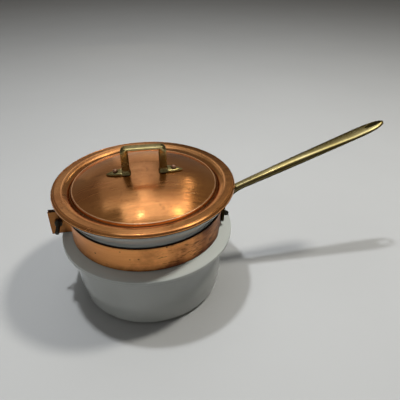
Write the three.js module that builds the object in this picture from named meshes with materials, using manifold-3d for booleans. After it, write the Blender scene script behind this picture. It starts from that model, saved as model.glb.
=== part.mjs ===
// A glazed porcelain pot that hangs by its shoulder in an outer pan, with a copper band
// clamped round its neck, a cast brass handle riveted to the band, and a spun copper lid
// with a cast brass bow handle. Millimetres, +Z up. The origin is on the pot's axis at its
// underside; the long handle points along +X and the band's clamp along -X.
import * as THREE from 'three';
import { mergeVertices } from 'three/addons/utils/BufferGeometryUtils.js';
import Module from 'manifold-3d';

const wasm = await Module();
wasm.setup();

// Porcelain pot, outward and down from the foot of its neck
const neckFootRadius = 73.9;
const neckLeanDeg = 4.1;
const flareHeight = 13.5;
const flareWidth = 9.36426268727287; // brings the lip out to a radius of 85.3
const lipHeight = 6.4;
const ledgeWidth = 13.7;
const ledgeRise = 4.1;
const shoulderRim = 7.5;
const shoulderUndercut = 3.5;
const shoulderOverhang = 5.4;
const bodyHeight = 60;
const bodyTaper = 9;
const baseCorner = 9;
const potWall = 4.8;
const potFloor = 6;

// Copper band and its clamp; the neck is as high as the band and its clearances
const bandHeight = 25.4;
const bandSheet = 1.4;
const bandLift = 0.8;
const bandHeadroom = 2.2;
const clampGap = 2.1;
const earReach = 19.6;
const boltReach = 11.2;
const earBend = 2.2;
const boltDiameter = 4;
const boltLength = 24;
const boltHeadDiameter = 8;
const boltHeadHeight = 2.8;
const boltSlotWidth = 1.1;
const boltSlotDepth = 1.2;
const nutAcrossFlats = 7;
const nutHeight = 3.2;

// Brass handle
const plateLength = 60;
const plateMargin = 1.7;
const plateThickness = 3.2;
const rootWidth = 17;
const rootDepth = 13;
const rootReach = 22;
const rootStartRise = 4;
const rootEndRise = 19;
const bladeRiseDeg = 20.4;
const bladeLength = 158.8;
const waistWidth = 9.8;
const waistDepth = 5.4;
const bladeWidth = 17.6;
const bladeDepth = 5;
const tipLength = 35;
const tipLift = 1.2;
const hangHoleLength = 16;
const hangHoleWidth = 6.6;
const hangHoleInset = 11.6;

// Rivets: the two in the handle's plate, then the two in the lid's handle
const plateRivetInset = 9;
const plateRivetDiameter = 3.6;
const plateRivetHead = 5.6;
const plateRivetHeadHeight = 3.9;
const lidRivetReach = 6.2;
const lidRivetDiameter = 3.2;
const lidRivetHead = 5;
const lidRivetHeadHeight = 1.8;
const rivetTailDiameter = 6;
const rivetTailHeight = 1.1;

// Copper lid: its brim overhangs the lip, its cove drops inside the mouth
const brimOverhang = 3.7;
const lidSheet = 1.6;
const coveDepth = 4.9;
const coveOuterWidth = 4.3;
const coveInnerWidth = 3.5;
const domeEdgeDrop = 2.9;
const domeRise = 13.2;
const domeCurve = 2.66;
const lidTurnDeg = -3;
const lidLiftGap = 0.3;

// Brass bow handle on the lid
const bowRise = 26.8;
const bowSpan = 43.2;
const bowWidth = 7;
const bowBarDepth = 4.8;
const bowPostDepth = 7.4;
const bowEdge = 1.9;
const bowCorner = 5;
const bowInnerCorner = 1;
const bowOffCentre = new THREE.Vector2(1.2, -1);
const footLength = 22.8;
const footWidth = 12.6;
const footThickness = 2.6;

// Clearances
const seatGap = 0.3;
const holeGap = 0.15;
const plugGap = 0.8;

// Facets
const roundSteps = 56;
const smallSteps = 16;
const arcError = 0.12;
const weldDistance = 1e-4;
const sliverWidth = 0.03;

const rad = THREE.MathUtils.degToRad;

// Heights and radii that follow from the sizes above
const neckHeight = bandLift + bandHeight + bandHeadroom;
const shoulderRadius = neckFootRadius + ledgeWidth;
const bodyTopRadius = shoulderRadius - shoulderOverhang;
const baseRadius = bodyTopRadius - bodyTaper;
const shoulderRimLow = bodyHeight + shoulderUndercut;
const shoulderRimHigh = shoulderRimLow + shoulderRim;
const neckFootZ = shoulderRimHigh + ledgeRise;
const flareZ = neckFootZ + neckHeight;
const lipFootZ = flareZ + flareHeight;
const potHeight = lipFootZ + lipHeight;
const neckRadiusAt = (z) => neckFootRadius + (z - neckFootZ) * Math.tan(rad(neckLeanDeg));
const lipRadius = neckRadiusAt(flareZ) + flareWidth;
const mouthRadius = lipRadius - potWall;
const bandBottomZ = neckFootZ + bandLift;
const bandMidZ = bandBottomZ + bandHeight / 2;
const bandInner = neckRadiusAt(bandMidZ) + seatGap;
const bandOuter = bandInner + bandSheet;
const earEnd = bandOuter + earReach;
const boltRadius = bandOuter + boltReach;
const earFace = clampGap / 2 + bandSheet;
const plateInner = bandOuter + seatGap;
const plateOuter = plateInner + plateThickness;
const plateHeight = bandHeight - 2 * plateMargin;
const plateRivetAngle = (plateLength / 2 - plateRivetInset) / plateInner;
const lidRadius = lipRadius + brimOverhang;
const coveTopRadius = mouthRadius - plugGap - lidSheet / 2;
const coveFootRadius = coveTopRadius - coveOuterWidth;
const domeRadius = coveFootRadius - coveInnerWidth;
const brimZ = potHeight + lidLiftGap + lidSheet;
const domeEdgeZ = brimZ - domeEdgeDrop;
const domeZ = (r) => domeEdgeZ + domeRise * (1 - (r / domeRadius) ** domeCurve);
const domeTopZ = domeZ(0);
const lidRivetOffset = bowSpan / 2 + lidRivetReach;

const copper = { color: 0xc47a48, roughness: 0.28, metalness: 1 };
const bandCopper = { color: 0xb9774a, roughness: 0.38, metalness: 1 };
const brass = { color: 0xb59a4e, roughness: 0.3, metalness: 1 };
const glaze = { color: 0xe4e3dc, roughness: 0.12, metalness: 0 };
const darkSteel = { color: 0x2f2c28, roughness: 0.5, metalness: 0.8 };
const rivetCopper = { color: 0xa8765a, roughness: 0.35, metalness: 1 };

// A closed geometry as a solid that can be joined and cut.
function solidOf(geometry) {
  const bare = geometry.clone();
  bare.deleteAttribute('normal');
  bare.deleteAttribute('uv');
  const merged = mergeVertices(bare, weldDistance);
  const corners = merged.index.array;
  const kept = [];
  for (let i = 0; i < corners.length; i += 3) {
    const [a, b, c] = [corners[i], corners[i + 1], corners[i + 2]];
    if (a !== b && b !== c && c !== a) kept.push(a, b, c);
  }
  const vertProperties = new Float32Array(merged.attributes.position.array);
  const triVerts = new Uint32Array(kept);
  return new wasm.Manifold(new wasm.Mesh({ numProp: 3, vertProperties, triVerts }));
}

// A solid as a named mesh with its finish, cleared of the slivers that cutting leaves.
function meshOf(name, solid, finish) {
  const data = solid.asOriginal().simplify(sliverWidth).getMesh();
  const geometry = new THREE.BufferGeometry();
  geometry.setAttribute('position', new THREE.BufferAttribute(data.vertProperties, 3));
  geometry.setIndex(new THREE.BufferAttribute(data.triVerts, 1));
  geometry.computeVertexNormals();
  const mesh = new THREE.Mesh(geometry, new THREE.MeshStandardMaterial(finish));
  mesh.name = name;
  return mesh;
}

// The points of an open line through corners [x, y, fillet], each inner corner rounded by
// a tangent arc that takes at most half of its shorter side.
function rounded(corners) {
  const points = [corners[0].slice(0, 2)];
  for (let i = 1; i < corners.length - 1; i++) {
    const corner = new THREE.Vector2(corners[i][0], corners[i][1]);
    const back = new THREE.Vector2(corners[i - 1][0], corners[i - 1][1]).sub(corner);
    const ahead = new THREE.Vector2(corners[i + 1][0], corners[i + 1][1]).sub(corner);
    const shorter = Math.min(back.length(), ahead.length());
    back.normalize();
    ahead.normalize();
    const half = Math.acos(THREE.MathUtils.clamp(back.dot(ahead), -1, 1)) / 2;
    const run = Math.min((corners[i][2] ?? 0) / Math.tan(half), shorter / 2);
    const radius = run * Math.tan(half);
    const middle = back.clone().add(ahead).normalize().multiplyScalar(radius / Math.sin(half));
    const centre = corner.clone().add(middle);
    const start = corner.clone().addScaledVector(back, run).sub(centre);
    const turn = (Math.PI - 2 * half) * Math.sign(-back.cross(ahead));
    const step = 2 * Math.acos(1 - Math.min(arcError / Math.max(radius, arcError), 0.3));
    const steps = radius > 0 ? Math.max(1, Math.ceil(Math.abs(turn) / step)) : 0;
    for (let k = 0; k <= steps; k++) {
      const angle = steps > 0 ? (turn * k) / steps : 0;
      const point = start.clone().rotateAround(new THREE.Vector2(), angle).add(centre);
      points.push(radius > 0 ? [point.x, point.y] : [corner.x, corner.y]);
    }
  }
  points.push(corners.at(-1).slice(0, 2));
  return points;
}

// A solid turned about Z from an outline of [radius, height] that starts and ends on the axis.
function turned(outline, steps = roundSteps) {
  const points = outline.map(([r, z]) => new THREE.Vector2(r, z));
  return solidOf(new THREE.LatheGeometry(points, steps).rotateX(Math.PI / 2));
}

// A solid skin over rings of equally many points, closed by a fan over each end.
function lofted(rings) {
  const count = rings[0].length;
  const points = rings.flat();
  const index = [];
  const quad = (a, b, c, d) => index.push(a, b, c, a, c, d);
  for (let i = 0; i + 1 < rings.length; i++) {
    for (let j = 0; j < count; j++) {
      const next = (j + 1) % count;
      quad(i * count + j, i * count + next, (i + 1) * count + next, (i + 1) * count + j);
    }
  }
  for (const [ring, flip] of [[0, true], [rings.length - 1, false]]) {
    const middle = new THREE.Vector3();
    rings[ring].forEach((point) => middle.addScaledVector(point, 1 / count));
    points.push(middle);
    for (let j = 0; j < count; j++) {
      const [a, b] = [ring * count + j, ring * count + ((j + 1) % count)];
      index.push(points.length - 1, flip ? b : a, flip ? a : b);
    }
  }
  const geometry = new THREE.BufferGeometry().setFromPoints(points);
  geometry.setIndex(index);
  return solidOf(geometry);
}

// One ring: a rounded box (superellipse) about centre, spanned by two unit vectors.
function sectionRing(centre, side, up, halfWidth, halfDepth, squareness, steps) {
  const ring = [];
  for (let j = 0; j < steps; j++) {
    const angle = (2 * Math.PI * j) / steps;
    const reach = (value) => Math.sign(value) * Math.abs(value) ** (2 / squareness);
    const point = centre.clone();
    point.addScaledVector(side, halfWidth * reach(Math.cos(angle)));
    point.addScaledVector(up, halfDepth * reach(Math.sin(angle)));
    ring.push(point);
  }
  return ring;
}

// A round bar along +Z from the origin.
function bar(radius, length, steps = smallSteps) {
  return turned([[0, 0], [radius, 0], [radius, length], [0, length]], steps);
}

// The placement of a solid made about +Z so that it stands at a point along a direction.
function placedAlong(solid, origin, direction) {
  const turn = new THREE.Quaternion();
  turn.setFromUnitVectors(new THREE.Vector3(0, 0, 1), direction.clone().normalize());
  const matrix = new THREE.Matrix4().compose(origin, turn, new THREE.Vector3(1, 1, 1));
  return solid.transform(matrix.toArray());
}

// Slip-cast body: flat underside, tapered wall, overhanging shoulder, leaning neck, flared
// lip, and an inside that follows one wall thickness in.
function porcelainPot() {
  const inner = (radius) => radius - potWall;
  const flareSlope = (lipRadius - neckRadiusAt(flareZ)) / flareHeight;
  const innerFlareDrop = potWall * flareSlope / 3;
  const outside = [
    [0, 0],
    [baseRadius, 0, baseCorner],
    [bodyTopRadius, bodyHeight, 2],
    [shoulderRadius, shoulderRimLow, 4],
    [shoulderRadius, shoulderRimHigh, 5],
    [neckFootRadius, neckFootZ, bandLift],
    [neckRadiusAt(flareZ), flareZ, 6],
    [lipRadius, lipFootZ, 6],
    [lipRadius, potHeight, potWall * 0.45],
  ];
  const inside = [
    [mouthRadius, potHeight, potWall * 0.45],
    [mouthRadius, lipFootZ - innerFlareDrop, 6],
    [inner(neckRadiusAt(flareZ)), flareZ - innerFlareDrop, 6],
    [inner(neckFootRadius), neckFootZ - potWall / 2, 5],
    [inner(shoulderRadius), shoulderRimHigh - potWall / 2, 4],
    [inner(bodyTopRadius), bodyHeight + potWall / 3, 5],
    [inner(baseRadius) + potFloor * 0.15, potFloor, baseCorner],
    [0, potFloor],
  ];
  return turned(rounded([...outside, ...inside]));
}

// Points of an arc about the axis, in plan, from one angle to another.
function planArc(radius, from, to, steps) {
  const points = [];
  for (let i = 0; i <= steps; i++) {
    const angle = from + ((to - from) * i) / steps;
    points.push([radius * Math.cos(angle), radius * Math.sin(angle)]);
  }
  return points;
}

// A strap bent round the neck, with both ends turned out into ears that the bolt draws
// together. It is shaped in plan, raised to its height, then leaned out with the neck.
function neckBand() {
  const earSide = (side) => {
    const innerBend = (earFace - bandSheet + earBend + bandSheet) / bandInner;
    const outerBend = (earFace + earBend) / bandOuter;
    const arcIn = [bandInner * Math.cos(Math.PI - innerBend), side * bandInner * Math.sin(innerBend)];
    const arcOut = [bandOuter * Math.cos(Math.PI - outerBend), side * bandOuter * Math.sin(outerBend)];
    const inFace = side * (earFace - bandSheet);
    const outFace = side * earFace;
    const inward = rounded([arcIn, [-bandInner, inFace, earBend + bandSheet], [-earEnd, inFace]]);
    const outward = rounded([[-earEnd, outFace], [-bandOuter, outFace, earBend], arcOut]);
    return { inward, outward, innerBend, outerBend };
  };
  const far = earSide(1);
  const near = earSide(-1);
  const innerArc = planArc(bandInner, far.innerBend - Math.PI, Math.PI - far.innerBend, roundSteps);
  const outerArc = planArc(bandOuter, Math.PI - far.outerBend, far.outerBend - Math.PI, roundSteps);
  const plan = [
    ...innerArc,
    ...far.inward.slice(1),
    ...far.outward.slice(0, -1),
    ...outerArc,
    ...near.outward.reverse().slice(1),
    ...near.inward.reverse().slice(0, -1),
  ];
  const shape = new THREE.Shape(plan.map(([x, y]) => new THREE.Vector2(x, y)));
  const strap = new THREE.ExtrudeGeometry(shape, { depth: bandHeight, bevelEnabled: false });
  const places = strap.attributes.position;
  for (let i = 0; i < places.count; i++) {
    const [x, y, z] = [places.getX(i), places.getY(i), places.getZ(i)];
    const radius = Math.hypot(x, y);
    const share = THREE.MathUtils.clamp((earEnd - radius) / earReach, 0, 1);
    const lean = 1 + (share * (z - bandHeight / 2) * Math.tan(rad(neckLeanDeg))) / radius;
    places.setXYZ(i, x * lean, y * lean, z + bandBottomZ);
  }
  const boltHole = placedAlong(
    bar(boltDiameter / 2 + holeGap, 4 * earFace),
    new THREE.Vector3(-boltRadius, -2 * earFace, bandMidZ),
    new THREE.Vector3(0, 1, 0),
  );
  return cutRivetHoles(solidOf(strap).subtract(boltHole));
}

// The direction of a plate rivet, square to the pot's axis.
function plateRivetDirection(side) {
  const angle = side * plateRivetAngle;
  return new THREE.Vector3(Math.cos(angle), Math.sin(angle), 0);
}

// Removes the two plate rivets' holes from the band or from the handle.
function cutRivetHoles(solid) {
  let result = solid;
  for (const side of [-1, 1]) {
    const direction = plateRivetDirection(side);
    const start = direction.clone().multiplyScalar(bandInner - bandSheet).setZ(bandMidZ);
    const hole = bar(plateRivetDiameter / 2 + holeGap, 4 * plateThickness);
    result = result.subtract(placedAlong(hole, start, direction));
  }
  return result;
}

// A rivet about +Z whose seat, the underside of its button head, is at z = 0.
function rivet(diameter, headDiameter, headHeight, length, tailDiameter, tailHeight) {
  const shank = diameter / 2;
  const head = headDiameter / 2;
  const outline = [[0, -length - tailHeight]];
  if (tailHeight > 0) {
    outline.push([tailDiameter / 2 - tailHeight / 2, -length - tailHeight]);
    outline.push([tailDiameter / 2, -length - tailHeight / 2]);
    outline.push([tailDiameter / 2, -length]);
  }
  outline.push([shank, -length], [shank, 0]);
  for (let i = 0; i < 5; i++) {
    const angle = (Math.PI / 2) * (i / 5);
    outline.push([head * Math.cos(angle), headHeight * Math.sin(angle)]);
  }
  outline.push([0, headHeight]);
  return turned(outline, smallSteps);
}

// A rivet through the handle's plate and the band. Its tail is filed flush with the band,
// because the porcelain lies behind it.
function plateRivet(side) {
  const direction = plateRivetDirection(side);
  const seat = direction.clone().multiplyScalar(plateOuter + seatGap).setZ(bandMidZ);
  const length = plateOuter + seatGap - bandInner - holeGap;
  const body = rivet(plateRivetDiameter, plateRivetHead, plateRivetHeadHeight, length, 0, 0);
  return placedAlong(body, seat, direction);
}

// Slotted round-headed bolt: the head bears on the far ear, the thread passes the near one.
function clampBolt() {
  const shank = boltDiameter / 2;
  const head = boltHeadDiameter / 2;
  const outline = rounded([
    [0, -boltLength],
    [shank - 0.6, -boltLength],
    [shank, -boltLength + 0.6],
    [shank, 0],
    [head, 0],
    [head, boltHeadHeight, boltHeadHeight * 0.8],
    [0, boltHeadHeight],
  ]);
  const slot = new THREE.BoxGeometry(2 * boltHeadDiameter, boltSlotWidth, 2 * boltSlotDepth);
  slot.translate(0, 0, boltHeadHeight);
  const body = turned(outline, smallSteps).subtract(solidOf(slot));
  const seat = new THREE.Vector3(-boltRadius, earFace + seatGap, bandMidZ);
  return placedAlong(body, seat, new THREE.Vector3(0, 1, 0));
}

// Hexagon nut with its corners turned down, against the near ear.
function clampNut() {
  const corner = nutAcrossFlats / 2 / Math.cos(Math.PI / 6);
  const flat = nutAcrossFlats / 2;
  const bevel = (corner - flat) * 0.6;
  const hexagon = new THREE.CylinderGeometry(corner, corner, nutHeight, 6).rotateX(Math.PI / 2);
  const turnedDown = turned([
    [0, -nutHeight / 2],
    [flat, -nutHeight / 2],
    [corner, -nutHeight / 2 + bevel],
    [corner, nutHeight / 2 - bevel],
    [flat, nutHeight / 2],
    [0, nutHeight / 2],
  ], 24);
  const bore = bar(boltDiameter / 2 + holeGap, 2 * nutHeight).translate([0, 0, -nutHeight]);
  const nut = solidOf(hexagon).intersect(turnedDown).subtract(bore);
  const seat = new THREE.Vector3(-boltRadius, -earFace - seatGap - nutHeight / 2, bandMidZ);
  return placedAlong(nut, seat, new THREE.Vector3(0, 1, 0));
}

// The oval mounting plate, bent to the band: stations along its length, each a rounded
// section that stands square to the band.
function mountingPlate() {
  const rings = [];
  const stations = 24;
  for (let i = 0; i <= stations; i++) {
    const along = -Math.cos((Math.PI * (i + 0.25)) / (stations + 0.5));
    const angle = (along * plateLength) / 2 / plateInner;
    const half = (plateHeight / 2) * (1 - along ** 4) ** 0.5;
    const out = new THREE.Vector3(Math.cos(angle), Math.sin(angle), 0);
    const centre = out.clone().multiplyScalar(plateInner + plateThickness / 2).setZ(bandMidZ);
    const lean = Math.tan(rad(neckLeanDeg));
    const up = new THREE.Vector3(out.x * lean, out.y * lean, 1).normalize();
    rings.push(sectionRing(centre, up, out, half, plateThickness / 2, 5, smallSteps));
  }
  return lofted(rings);
}

// The middle line of the handle in the XZ plane: a curved root, the straight blade, and a
// tip that lifts a little.
function handlePath() {
  const rise = rad(bladeRiseDeg);
  const start = new THREE.Vector3(plateInner + plateThickness / 2, 0, bandMidZ + rootStartRise);
  const end = new THREE.Vector3(plateOuter + rootReach, 0, bandMidZ + rootEndRise);
  const ahead = new THREE.Vector3(Math.cos(rise), 0, Math.sin(rise));
  const pull = rootReach * 0.4;
  const startPull = new THREE.Vector3(pull * 0.8, 0, pull * 0.7).add(start);
  const endPull = end.clone().addScaledVector(ahead, -pull);
  const path = new THREE.CurvePath();
  path.add(new THREE.CubicBezierCurve3(start, startPull, endPull, end));
  const tipStart = end.clone().addScaledVector(ahead, bladeLength - tipLength);
  const tipMiddle = tipStart.clone().addScaledVector(ahead, tipLength / 2);
  const tip = tipStart.clone().addScaledVector(ahead, tipLength);
  tip.z += tipLift;
  path.add(new THREE.LineCurve3(end, tipStart));
  path.add(new THREE.QuadraticBezierCurve3(tipStart, tipMiddle, tip));
  return path;
}

// The casting: the root narrows from the plate to a waist, the blade widens to its end and
// closes in a round tip.
function handleBlade() {
  const path = handlePath();
  const length = path.getLength();
  const rootLength = length - bladeLength;
  const sizesAt = (s) => {
    const root = Math.max(0, 1 - s / rootLength) ** 2;
    const blade = THREE.MathUtils.clamp((s - rootLength) / (bladeLength - tipLength), 0, 1);
    const tip = THREE.MathUtils.clamp((s - length + tipLength) / tipLength, 0, 0.998);
    const close = Math.sqrt(1 - tip ** 3);
    const width = waistWidth + (bladeWidth - waistWidth) * blade + (rootWidth - waistWidth) * root;
    const depth = waistDepth + (bladeDepth - waistDepth) * blade + (rootDepth - waistDepth) * root;
    return { halfWidth: (width / 2) * close, halfDepth: (depth / 2) * close ** 0.4 };
  };
  const rings = [];
  const [rootStations, bladeStations, tipStations] = [7, 8, 11];
  const places = [];
  for (let i = 0; i < rootStations; i++) places.push((rootLength * i) / rootStations);
  for (let i = 0; i < bladeStations; i++) {
    places.push(rootLength + ((bladeLength - tipLength) * i) / bladeStations);
  }
  for (let i = 0; i <= tipStations; i++) {
    places.push(length - tipLength + tipLength * Math.sin((Math.PI / 2) * (i / tipStations)));
  }
  for (const s of places) {
    const centre = path.getPointAt(s / length);
    const ahead = path.getTangentAt(s / length);
    const side = new THREE.Vector3(0, 1, 0);
    const square = THREE.MathUtils.smoothstep(s, 0, rootLength);
    const up = new THREE.Vector3(0, 0, 1).lerp(ahead.clone().cross(side), square).normalize();
    const { halfWidth, halfDepth } = sizesAt(s);
    rings.push(sectionRing(centre, side, up, halfWidth, halfDepth, 2.6, 20));
  }
  return lofted(rings);
}

// The slot near the tip that the pot hangs by, cut square through the blade.
function hangHole() {
  const path = handlePath();
  const share = 1 - hangHoleInset / path.getLength();
  const centre = path.getPointAt(share);
  const ahead = path.getTangentAt(share);
  const side = new THREE.Vector3(0, 1, 0);
  const up = ahead.clone().cross(side);
  const rings = [-bladeDepth, bladeDepth].map((offset) => sectionRing(
    centre.clone().addScaledVector(up, offset),
    ahead,
    side,
    hangHoleLength / 2,
    hangHoleWidth / 2,
    2.2,
    24,
  ));
  return lofted(rings);
}

function handle() {
  return cutRivetHoles(mountingPlate().add(handleBlade())).subtract(hangHole());
}

// The lid's upper face from the middle of the dome to the end of the brim.
function lidTop() {
  const dome = [];
  const steps = 8;
  for (let i = 0; i < steps; i++) {
    const r = (domeRadius * i) / steps;
    dome.push([r, domeZ(r)]);
  }
  const cove = rounded([
    dome.at(-1),
    [domeRadius, domeEdgeZ, lidSheet * 1.2],
    [coveFootRadius, brimZ - coveDepth, 1.2],
    [coveTopRadius, brimZ, lidSheet * 1.3],
    [lidRadius - lidSheet / 2, brimZ],
  ]);
  return [...dome, ...cove.slice(1)];
}

// The lower face of a sheet: its upper face moved square to itself by the thickness.
function sheetUnder(top, thickness) {
  return top.map(([x, z], i) => {
    const [x0, z0] = top[Math.max(i - 1, 0)];
    const [x1, z1] = top[Math.min(i + 1, top.length - 1)];
    const along = new THREE.Vector2(x1 - x0, z1 - z0).normalize();
    return i === 0 ? [0, z - thickness] : [x + along.y * thickness, z - along.x * thickness];
  });
}

// Spun from one sheet: brim, cove that drops into the pot's mouth, raised dome.
function lid() {
  const top = lidTop();
  const under = sheetUnder(top, lidSheet);
  const edge = [];
  for (let i = 1; i < 4; i++) {
    const angle = (Math.PI * i) / 4;
    const r = lidRadius - lidSheet / 2 + (lidSheet / 2) * Math.sin(angle);
    edge.push([r, brimZ - lidSheet / 2 + (lidSheet / 2) * Math.cos(angle)]);
  }
  const outline = [...top, ...edge, ...under.reverse()].reverse();
  return cutLidRivetHoles(turned(outline));
}

// Where a lid rivet's axis meets the dome, and the dome's outward direction there.
function lidRivetPlace(side) {
  const x = bowOffCentre.x + side * lidRivetOffset;
  const y = bowOffCentre.y;
  const r = Math.hypot(x, y);
  const step = 0.5;
  const slope = (domeZ(r + step) - domeZ(r - step)) / (2 * step);
  const out = new THREE.Vector3((-slope * x) / r, (-slope * y) / r, 1).normalize();
  return { point: new THREE.Vector3(x, y, domeZ(r)), out };
}

// Removes both lid rivets' holes from the lid or from its handle.
function cutLidRivetHoles(solid) {
  let result = solid;
  for (const side of [-1, 1]) {
    const { point, out } = lidRivetPlace(side);
    const start = point.clone().addScaledVector(out, -2 * lidSheet);
    const hole = bar(lidRivetDiameter / 2 + holeGap, 3 * lidSheet + 2 * footThickness);
    result = result.subtract(placedAlong(hole, start, out));
  }
  return result;
}

function lidRivet(side) {
  const { point, out } = lidRivetPlace(side);
  const headSeat = 2 * seatGap + footThickness;
  const length = headSeat + lidSheet + seatGap;
  const body = rivet(
    lidRivetDiameter,
    lidRivetHead,
    lidRivetHeadHeight,
    length,
    rivetTailDiameter,
    rivetTailHeight,
  );
  return placedAlong(body, point.clone().addScaledVector(out, headSeat), out);
}

// A foot of the bow: a leaf that lies on the dome, broad at the post, pointed at its tip
// and crowned on top.
function bowFoot(side) {
  const rings = [];
  const stations = 12;
  for (let i = 0; i <= stations; i++) {
    const along = Math.sin(((Math.PI / 2) * i) / (stations + 0.3));
    const x = bowOffCentre.x + side * (bowSpan / 2 - bowPostDepth + along * footLength);
    const broad = 0.74 + 0.26 * Math.sin((Math.PI / 2) * Math.min(along / 0.35, 1));
    const half = (footWidth / 2) * broad * (1 - along ** 2.5) ** 0.8;
    const thick = footThickness * (1 - 0.5 * along ** 3);
    const rim = footThickness * 0.3;
    const ring = [];
    for (let j = 0; j < smallSteps; j++) {
      const angle = (2 * Math.PI * j) / smallSteps;
      const y = bowOffCentre.y + half * Math.cos(angle);
      const crown = Math.sin(angle) > 0 ? Math.sin(angle) ** 0.7 : 0;
      const lift = Math.sin(angle) < 0 ? 0 : rim + (thick - rim) * crown;
      ring.push(new THREE.Vector3(x, y, domeZ(Math.hypot(x, y)) + seatGap + lift));
    }
    rings.push(side > 0 ? ring : ring.reverse());
  }
  return lofted(rings);
}

// The bow: two posts and a bar cast as one arch with rounded edges, sunk in the feet.
function bow() {
  const top = domeTopZ + bowRise;
  const half = bowSpan / 2;
  const foot = domeZ(half) + seatGap + footThickness * 0.4;
  const outer = rounded([[-half, foot], [-half, top, bowCorner], [half, top, bowCorner], [half, foot]]);
  const inner = rounded([
    [half - bowPostDepth, foot],
    [half - bowPostDepth, top - bowBarDepth, bowInnerCorner],
    [bowPostDepth - half, top - bowBarDepth, bowInnerCorner],
    [bowPostDepth - half, foot],
  ]);
  const arch = new THREE.Shape([...outer, ...inner].map(([x, z]) => new THREE.Vector2(x, z)));
  const edge = { bevelThickness: bowEdge, bevelSize: bowEdge, bevelOffset: -bowEdge };
  const options = { depth: bowWidth - 2 * bowEdge, bevelSegments: 3, ...edge };
  const casting = new THREE.ExtrudeGeometry(arch, options).rotateX(Math.PI / 2);
  casting.translate(bowOffCentre.x, bowOffCentre.y + bowWidth / 2 - bowEdge, 0);
  return solidOf(casting);
}

function lidHandle() {
  return cutLidRivetHoles(bow().add(bowFoot(-1)).add(bowFoot(1)));
}

const pot = new THREE.Group();
pot.add(meshOf('porcelain_pot', porcelainPot(), glaze));
pot.add(meshOf('neck_band', neckBand(), bandCopper));
pot.add(meshOf('clamp_bolt', clampBolt(), darkSteel));
pot.add(meshOf('clamp_nut', clampNut(), darkSteel));
pot.add(meshOf('handle', handle(), brass));
pot.add(meshOf('handle_rivet_near', plateRivet(-1), darkSteel));
pot.add(meshOf('handle_rivet_far', plateRivet(1), darkSteel));

const cover = new THREE.Group();
cover.add(meshOf('lid', lid(), copper));
cover.add(meshOf('lid_handle', lidHandle(), brass));
cover.add(meshOf('lid_rivet_left', lidRivet(-1), rivetCopper));
cover.add(meshOf('lid_rivet_right', lidRivet(1), rivetCopper));
cover.rotation.z = rad(lidTurnDeg);
pot.add(cover);

export default pot;
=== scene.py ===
import math

import bmesh
import bpy
import numpy as np
from mathutils import Matrix, Vector


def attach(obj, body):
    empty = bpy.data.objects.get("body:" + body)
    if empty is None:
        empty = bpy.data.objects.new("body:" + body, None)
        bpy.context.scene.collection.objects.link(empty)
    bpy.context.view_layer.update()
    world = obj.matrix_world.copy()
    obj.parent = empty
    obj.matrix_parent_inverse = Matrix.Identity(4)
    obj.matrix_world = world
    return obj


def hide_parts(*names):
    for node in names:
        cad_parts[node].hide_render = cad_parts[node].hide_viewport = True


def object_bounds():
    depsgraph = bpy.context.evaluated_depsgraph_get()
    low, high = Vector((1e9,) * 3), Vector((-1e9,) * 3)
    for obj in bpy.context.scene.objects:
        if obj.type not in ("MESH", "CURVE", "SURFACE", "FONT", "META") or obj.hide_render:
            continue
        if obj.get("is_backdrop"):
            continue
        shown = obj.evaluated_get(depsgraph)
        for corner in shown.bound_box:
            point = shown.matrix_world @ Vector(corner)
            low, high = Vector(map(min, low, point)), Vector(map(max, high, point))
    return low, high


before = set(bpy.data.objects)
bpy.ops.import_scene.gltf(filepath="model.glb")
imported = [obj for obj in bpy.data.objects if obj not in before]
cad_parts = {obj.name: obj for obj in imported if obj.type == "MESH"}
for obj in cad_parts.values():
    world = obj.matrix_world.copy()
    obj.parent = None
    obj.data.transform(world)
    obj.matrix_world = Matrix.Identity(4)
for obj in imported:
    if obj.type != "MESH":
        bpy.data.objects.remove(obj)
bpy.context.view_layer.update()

# Porcelain pot. One slip-cast and glazed vessel: tapered body, shoulder that overhangs it,
# leaning neck and flared lip. The glaze is thick and glossy, and the ring that it stands on
# in the kiln is wiped clean, so it stays matt.

MM = 0.001  # sizes are in millimetres, and Blender's unit is the metre


def rounded(corners, error=0.004):
    """Points of a line through corners (x, y, fillet). Each inner corner becomes a tangent
    arc of that radius, in chords that stray from it by no more than the error."""
    corners = [np.array(corner, float) for corner in corners]
    parts = [corners[0][None, :2]]
    for before, corner, after in zip(corners, corners[1:], corners[2:]):
        back, ahead = before[:2] - corner[:2], after[:2] - corner[:2]
        shorter = min(np.linalg.norm(back), np.linalg.norm(ahead))
        back, ahead = back / np.linalg.norm(back), ahead / np.linalg.norm(ahead)
        half = math.acos(np.clip(back @ ahead, -1, 1)) / 2
        run = min(corner[2] / math.tan(half), shorter / 2)
        radius = run * math.tan(half)
        if radius < 1e-6:
            parts.append(corner[None, :2])
            continue
        middle = (back + ahead) / np.linalg.norm(back + ahead)
        centre = corner[:2] + middle * radius / math.sin(half)
        start = corner[:2] + back * run - centre
        turn = (math.pi - 2 * half) * -np.sign(back[0] * ahead[1] - back[1] * ahead[0])
        step = 2 * math.acos(1 - min(error / radius, 0.3))
        angle = np.linspace(0, turn, max(3, math.ceil(abs(turn) / step)) + 1)
        cos, sin = np.cos(angle), np.sin(angle)
        arc = np.stack([start[0] * cos - start[1] * sin, start[0] * sin + start[1] * cos], 1)
        parts.append(centre + arc)
    parts.append(corners[-1][None, :2])
    return np.concatenate(parts)


def spread(line, step):
    """The same line with points added, so that none lie further apart than the step."""
    parts = [
        np.linspace(a, b, max(1, math.ceil(np.linalg.norm(b - a) / step)), endpoint=False)
        for a, b in zip(line, line[1:])
    ]
    return np.concatenate([*parts, line[-1:]])


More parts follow.
